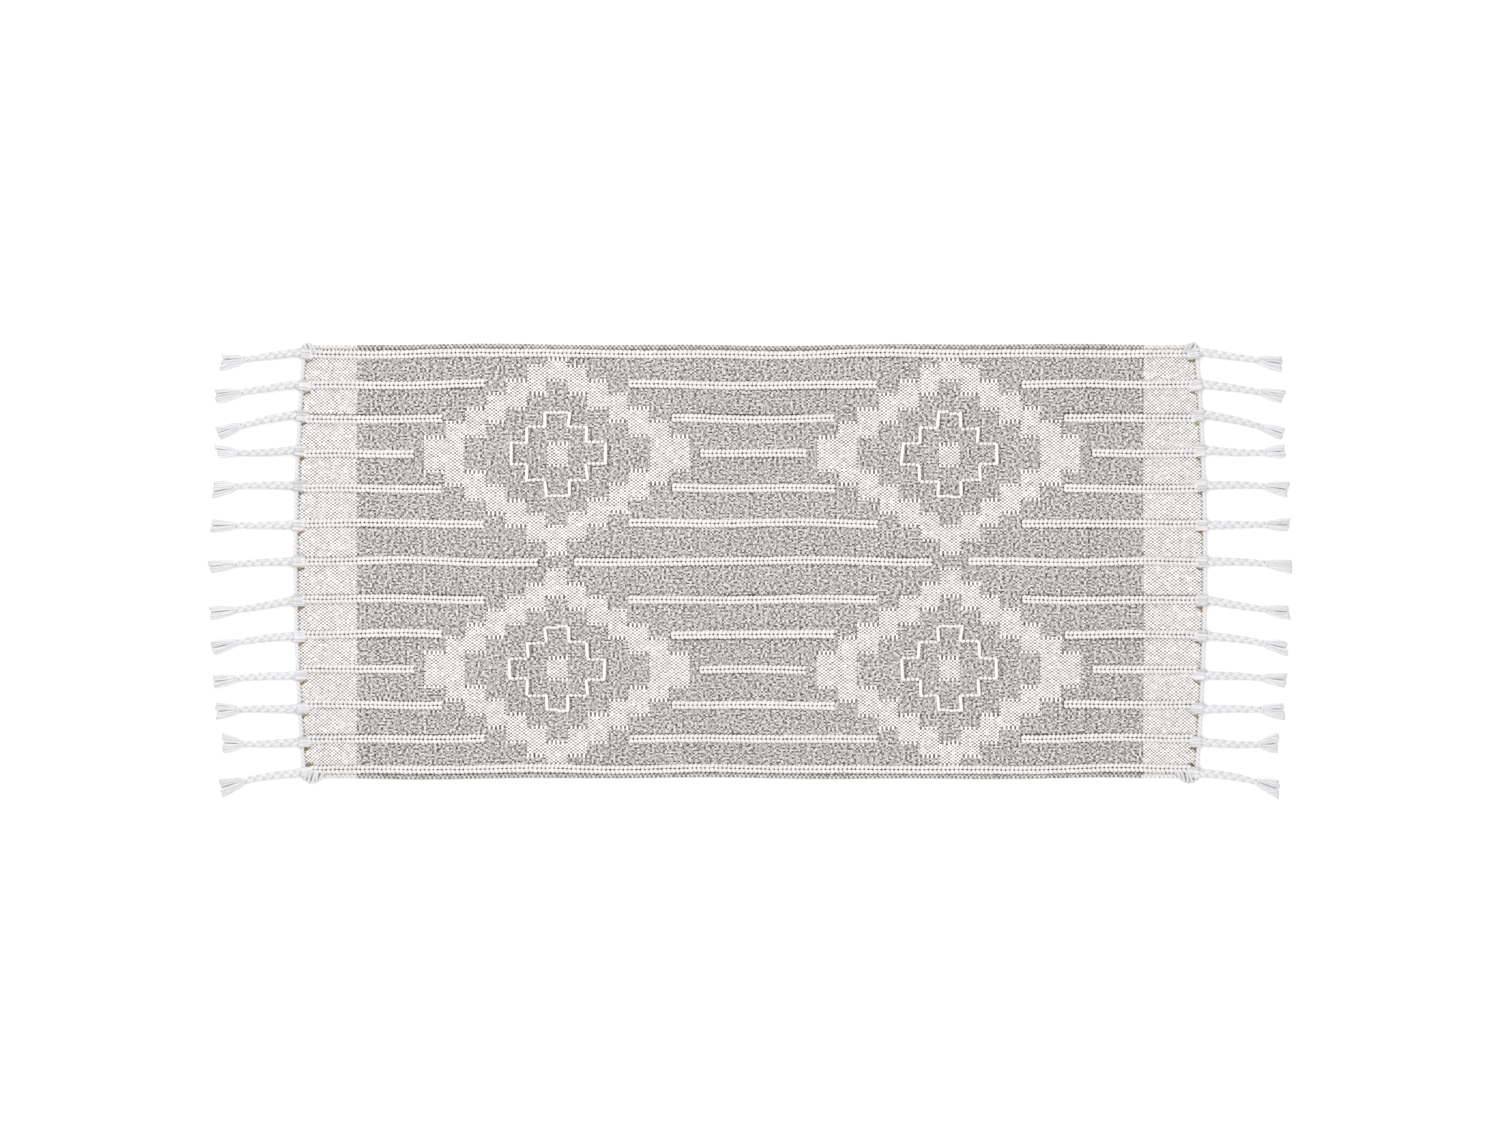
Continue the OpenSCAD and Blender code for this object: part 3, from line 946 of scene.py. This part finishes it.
def make_stitches(side):
    """Gold hem thread: loose stitches beside each tassel, and small ones along the cord."""
    shape = Shape()
    along = np.linspace(-1, 1, 7)
    for middle in TASSEL_Y:
        origin, out, aside = end_frame(side, middle)
        # The last tassel's stitches lie on its rear side, where there is still cloth
        front = 1 if middle > TASSEL_Y[-1] else -1
        for reach, beside, half in LOOSE_STITCHES:
            inward = reach + half * along
            path = origin - inward[:, None] * out - np.array([0, front * beside, 0])
            path[:, 1] += RANDOM.uniform(-0.0006, 0.0006) + RANDOM.uniform(0.0004, 0.0022) * along
            path[:, 2] = CLOTH_TOP + 0.0004 - 0.0010 * along ** 2
            shape.add(*tube(path, LOOSE_R, 8, (0, 0, 1), tone=RANDOM.uniform(0.3, 1.0)))
    for y in np.arange(-HALF_W + 0.006, HALF_W - 0.005, HEM_PITCH):
        if min(abs(y - middle) for middle in TASSEL_Y) < KNOT_CLEAR:
            continue
        origin, out, aside = end_frame(side, y + RANDOM.uniform(-0.0006, 0.0006))
        path = origin - HEM_IN * out + np.outer(HEM_HALF * along, aside)
        path[:, 2] = CLOTH_TOP + 0.0002 - 0.0006 * along ** 2
        shape.add(*tube(path, HEM_R, 6, (0, 0, 1), tone=RANDOM.uniform(0.0, 0.7)))
    obj = piece(f"hem_stitches_{side}_thread", shape, THREAD, warp=False)
    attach(obj, ROOT)
    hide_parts(f"hem_stitches_{side}")
    return obj


# ---------------------------------------------------------------- tassels

BRAID_L = 0.073
# Length along the braid in which one strand passes from side to side and back
BRAID_PERIOD = 0.038
STRAND_R = 0.0030
# How far a strand swings aside and up from the braid's middle line, and how high that lies
STRAND_SWING = 0.0029
STRAND_LIFT = 0.0014
BRAID_HEIGHT = 0.0048
# How far the braid starts behind the point where the tassel turns
ROOT_BACK = 0.0085
# The tie round the braid's end: its yarn's radius, how many turns it makes, and the radius of the
# neck it wraps
TIE_R = 0.0008
TIE_TURNS = 2.2
NECK_R = 0.0036
# How far each tassel curves towards the rear half-way along, from the rear tassel on
TASSEL_CURVE = [0.0007, 0.0007, 0.0025, -0.0025, 0.0028, 0.0005, 0.0022,
                -0.0012, 0.0032, 0.0020, 0.0012, -0.0020, 0.0045]
BRUSH_LOCKS = 6
LOCK_YARNS = 13
YARN_R = 0.0008
# The golden angle, which spreads a lock's yarns evenly
GOLDEN = 2.399963
# Shares of the tip's half width: how far the locks fan out, and half the width of one lock
FAN = 0.86
LOCK_HALF = 0.15
# How far the locks on both sides of the parting move apart, and how soon they fan out
PARTING_GAP = 0.14
FAN_EASE = 0.65


def tassel_axis(name):
    """Where a tassel turns, which way it lies, its reach and its tip's half width, from the CAD."""
    pivot = np.array(JOINTS[name]["pos_m"])
    co = np.array([v.co for v in frame["nodes"][name].data.vertices])
    flat = co[:, :2] - pivot[:2]
    tip = flat[np.linalg.norm(flat, axis=1) > 0.9 * np.linalg.norm(flat, axis=1).max()].mean(0)
    along = tip / np.linalg.norm(tip)
    half_tip = np.abs(flat @ np.array([-along[1], along[0]])).max()
    return pivot, np.array([along[0], along[1], 0.0]), float((flat @ along).max()), float(half_tip)


def make_tassel(side, row):
    """One tassel: its braid and its brush, in place of the CAD tassel, which is hidden."""
    name = f"tassel_{side}_{row:02d}"
    pivot, along, reach, half_tip = tassel_axis(name)
    aside = np.array([-along[1], along[0], 0.0])
    floor = np.array([pivot[0], pivot[1], 0.0])
    curve = SIDES[side] * TASSEL_CURVE[row - 1] + RANDOM.uniform(-0.0005, 0.0005)

    def world(s, w, h):
        """Points at s along the tassel, w aside from its curved middle line and h up."""
        sway = curve * np.sin(math.pi * np.clip(s / reach, 0, 1))
        return floor + np.outer(s, along) + np.outer(w + sway, aside) + np.outer(h, UP)

    shape = Shape()
    add_braid(shape, world)
    add_brush(shape, world, reach - BRAID_L, half_tip)
    obj = piece(f"{name}_yarn", shape, TASSEL, warp=False)
    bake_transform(obj)
    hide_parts(name)
    return obj


def add_braid(shape, world):
    """Three strands of twisted yarn that cross each other, bound by a tie, with painted shade where
    a strand lies under the others.
    """
    phase = RANDOM.uniform(0, TAU)
    s = np.linspace(-ROOT_BACK, BRAID_L, 64)
    size = 1 - 0.30 * np.clip(s / BRAID_L, 0, 1) ** 1.2
    size *= 1 - 0.10 * np.exp(-((s + ROOT_BACK) / 0.005) ** 2)
    for strand in range(3):
        t = TAU * s / BRAID_PERIOD + phase + strand * TAU / 3
        w = STRAND_SWING * size * np.sin(t)
        h = BRAID_HEIGHT * size + STRAND_LIFT * size * np.sin(2 * t)
        # Painted shade: a strand is darker where it passes under the others and lightest on top
        height = 0.5 + 0.5 * np.sin(2 * t)
        tone = RANDOM.uniform(0.92, 1.0) * (0.76 + 0.24 * height)
        shape.add(*tube(world(s, w, h), STRAND_R * size, 24, (0, 0, 1), lobes=5, lobe_depth=0.07,
                        turn=TAU / 0.060, crease_shade=0.86, tone=tone))
    turns = np.linspace(0, TIE_TURNS * TAU, 44)
    tie = world(BRAID_L - 0.0012 + 0.0022 * turns / turns[-1], NECK_R * np.cos(turns),
                NECK_R * (1.05 + 0.85 * np.sin(turns)))
    shape.add(*tube(tie, TIE_R, 8, (1, 0, 0), tone=0.93))


def add_brush(shape, world, length, half_tip):
    """Loose yarns in locks that fan out from the tie, cut off at a slant."""
    skew = RANDOM.uniform(-0.35, 0.35)
    lean = RANDOM.uniform(-0.0008, 0.0008)
    parting = RANDOM.uniform(-0.3, 0.3)
    for place in np.linspace(-0.9, 0.9, BRUSH_LOCKS):
        lock = place + PARTING_GAP * np.sign(place - parting)
        spread = FAN * half_tip * lock + lean + RANDOM.uniform(-0.0006, 0.0006)
        lock_length = length * RANDOM.uniform(0.93, 1.0) - abs(skew) * half_tip + skew * spread
        for k in range(LOCK_YARNS):
            r = math.sqrt((k + 0.5) / LOCK_YARNS)
            w_part, h_part = r * math.cos(k * GOLDEN), r * math.sin(k * GOLDEN)
            w0, h0 = 0.0024 * lock + 0.0009 * w_part, 0.0038 + 0.0018 * h_part * (1.2 - abs(lock))
            w1 = spread + LOCK_HALF * half_tip * w_part
            h1 = 0.0027 + 0.0018 * h_part
            u = np.linspace(0, 1, 11)
            ease = u ** FAN_EASE
            ripple = RANDOM.uniform(-0.0005, 0.0005) * np.sin(u * RANDOM.uniform(5, 9))
            w = w0 + (w1 - w0) * ease + ripple
            h = h0 + (h1 - h0) * ease + 0.0010 * np.sin(math.pi * u)
            yarn_l = lock_length * RANDOM.uniform(0.965, 1.0)
            thin = YARN_R * (1 - 0.35 * np.clip((u - 0.9) / 0.1, 0, 1))
            path = world(BRAID_L - 0.001 + u * yarn_l, w, np.maximum(h, YARN_R))
            shape.add(*tube(path, thin, 6, (0, 0, 1), tone=RANDOM.uniform(0.80, 1.03)))


# ---------------------------------------------------------------- the whole rug

cloth = make_base()
ground = make_ground()
for strip in ground:
    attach(strip, ROOT)
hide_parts("ground_cloth")
bands = make_bands()
for side, band in bands.items():
    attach(band, ROOT)
    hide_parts(f"end_band_{side}")
trims = make_diamonds() + make_hems() + make_ribs() + make_outlines()
ends = [make(side) for side in SIDES for make in (make_cord, make_knots, make_stitches)]
tassels = [make_tassel(side, row) for side in SIDES for row in range(1, ROW_N + 1)]

# ---------------------------------------------------------------- floor, light and camera

VIEW_WIDTH = 2.0786
LENS = 100.0
SENSOR = 36.0
CAMERA_X = -0.0004
CAMERA_Y = -0.0014
FLOOR_HALF = 9.0
FLOOR_Z = -0.0002
FLOOR_GREY = 0.93


def make_floor():
    """A plain pale floor, just below the rug."""
    mesh = bpy.data.meshes.new("floor")
    corners = [(x * FLOOR_HALF, y * FLOOR_HALF, 0) for x, y in ((-1, -1), (1, -1), (1, 1), (-1, 1))]
    mesh.from_pydata(corners, [], [(0, 1, 2, 3)])
    floor = bpy.data.objects.new("floor", mesh)
    bpy.context.scene.collection.objects.link(floor)
    floor.location.z = FLOOR_Z
    mat = bpy.data.materials.new("floor_paint")
    mat.use_nodes = True
    shader = mat.node_tree.nodes["Principled BSDF"]
    shader.inputs["Base Color"].default_value = (FLOOR_GREY, FLOOR_GREY, FLOOR_GREY, 1)
    shader.inputs["Roughness"].default_value = 0.9
    shader.inputs["Specular IOR Level"].default_value = 0.1
    mesh.materials.append(mat)


def make_light(name, place, size, power):
    """A soft square lamp that points at the middle of the rug."""
    light = bpy.data.lights.new(name, "AREA")
    light.shape = "SQUARE"
    light.size = size
    light.energy = power
    obj = bpy.data.objects.new(name, light)
    obj.location = place
    obj.rotation_euler = (-Vector(place)).to_track_quat("-Z", "Y").to_euler()
    obj.visible_camera = False
    bpy.context.scene.collection.objects.link(obj)


def make_camera():
    """The camera looks straight down, from far enough to flatten the view."""
    camera = bpy.data.cameras.new("camera")
    camera.lens = LENS
    camera.sensor_width = SENSOR
    camera.clip_end = 100
    obj = bpy.data.objects.new("camera", camera)
    obj.location = (CAMERA_X, CAMERA_Y, VIEW_WIDTH * LENS / SENSOR)
    bpy.context.scene.collection.objects.link(obj)
    bpy.context.scene.camera = obj


def make_world():
    """Even white light from all around."""
    world = bpy.data.worlds.new("studio")
    world.use_nodes = True
    background = world.node_tree.nodes["Background"]
    background.inputs["Color"].default_value = (1.0, 1.0, 1.0, 1)
    background.inputs["Strength"].default_value = 1.2
    bpy.context.scene.world = world
    bpy.context.scene.view_settings.view_transform = "Standard"


make_floor()
make_light("key", place=(-2.6, 2.9, 3.6), size=2.6, power=90)
make_light("fill", place=(2.8, -2.6, 3.6), size=3.0, power=30)
make_camera()
make_world()
